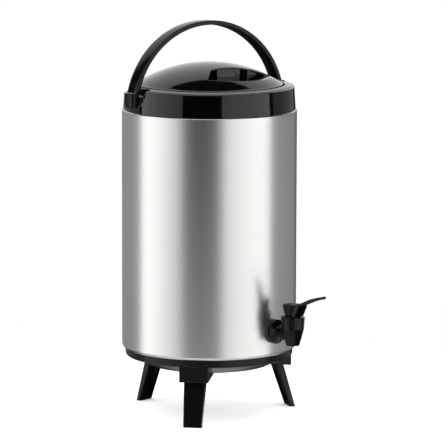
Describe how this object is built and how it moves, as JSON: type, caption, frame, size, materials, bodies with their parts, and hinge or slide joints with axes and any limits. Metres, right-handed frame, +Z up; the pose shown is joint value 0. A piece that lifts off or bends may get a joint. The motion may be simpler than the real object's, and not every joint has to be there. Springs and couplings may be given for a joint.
{
  "type": "insulated beverage dispenser",
  "caption": "Insulated steel drink dispenser on splayed legs, with a domed black twist-lock lid, arched carrying handle and a self-closing lever tap near the base.",
  "frame": {"origin": "on the floor, under the drum's axis", "axes": "+Z up along the drum's axis; the tap faces -Y, so +X is to the right seen from the tap's side"},
  "size_m": [0.2964, 0.3721, 0.6054],
  "materials": {
    "brushed_steel": "vertical-banded satin brushed stainless steel",
    "liner_steel": "drawn stainless steel",
    "gloss_black": "glossy moulded black plastic",
    "satin_black": "satin moulded black plastic",
    "white_polymer": "food-grade white plastic",
    "foam": "cut polyurethane foam",
    "silicone": "translucent white silicone",
    "black_rubber": "matt black rubber",
    "hardware_steel": "bright stainless steel"
  },
  "bodies": {
    "drum": {"outer_shell": "brushed_steel", "foam_jacket": "foam", "inner_liner": "liner_steel", "top_collar": "gloss_black", "base_pan": "gloss_black", "leg_front_left": "satin_black", "leg_front_right": "satin_black", "leg_back": "satin_black", "leg_screws": "hardware_steel", "handle_pin_right": "satin_black", "handle_pin_left": "satin_black", "tap_body": "satin_black", "tap_washer": "black_rubber", "tap_inner_washer": "silicone", "tap_nut": "white_polymer", "tap_bonnet": "satin_black"},
    "handle": {"carry_handle": "satin_black"},
    "lid": {"lid_cover": "gloss_black", "lid_foam": "foam", "lid_plug": "white_polymer", "lid_screws": "hardware_steel", "lid_seal": "silicone"},
    "stem": {"tap_stem": "satin_black", "seat_cup": "silicone", "lever_pin": "satin_black"},
    "lever": {"tap_lever": "satin_black"}
  },
  "joints": [
    {"name": "handle_swing", "type": "hinge", "parent": "drum", "child": "handle", "pos_m": [0.00168, 0.00955, 0.492], "axis": [0.9848, -0.1736, 0], "range_deg": [-50, 35]},
    {"name": "lid_turn", "type": "hinge", "parent": "drum", "child": "lid", "pos_m": [0, 0, 0.507], "axis": [0, 0, 1], "range_deg": [0, 40]},
    {"name": "stem_lift", "type": "slide", "parent": "drum", "child": "stem", "axis": [0, 0, 1], "range_m": [0, 0.005]},
    {"name": "lever_press", "type": "hinge", "parent": "stem", "child": "lever", "pos_m": [0, -0.172, 0.1765], "axis": [1, 0, 0], "range_deg": [0, 20], "stiffness_Nm_per_rad": 0.25, "springref_deg": -14.32}
  ],
  "couplings": [
    {"joint": "stem_lift", "follows": "lever_press", "m_per_rad": 0.014324}
  ]
}
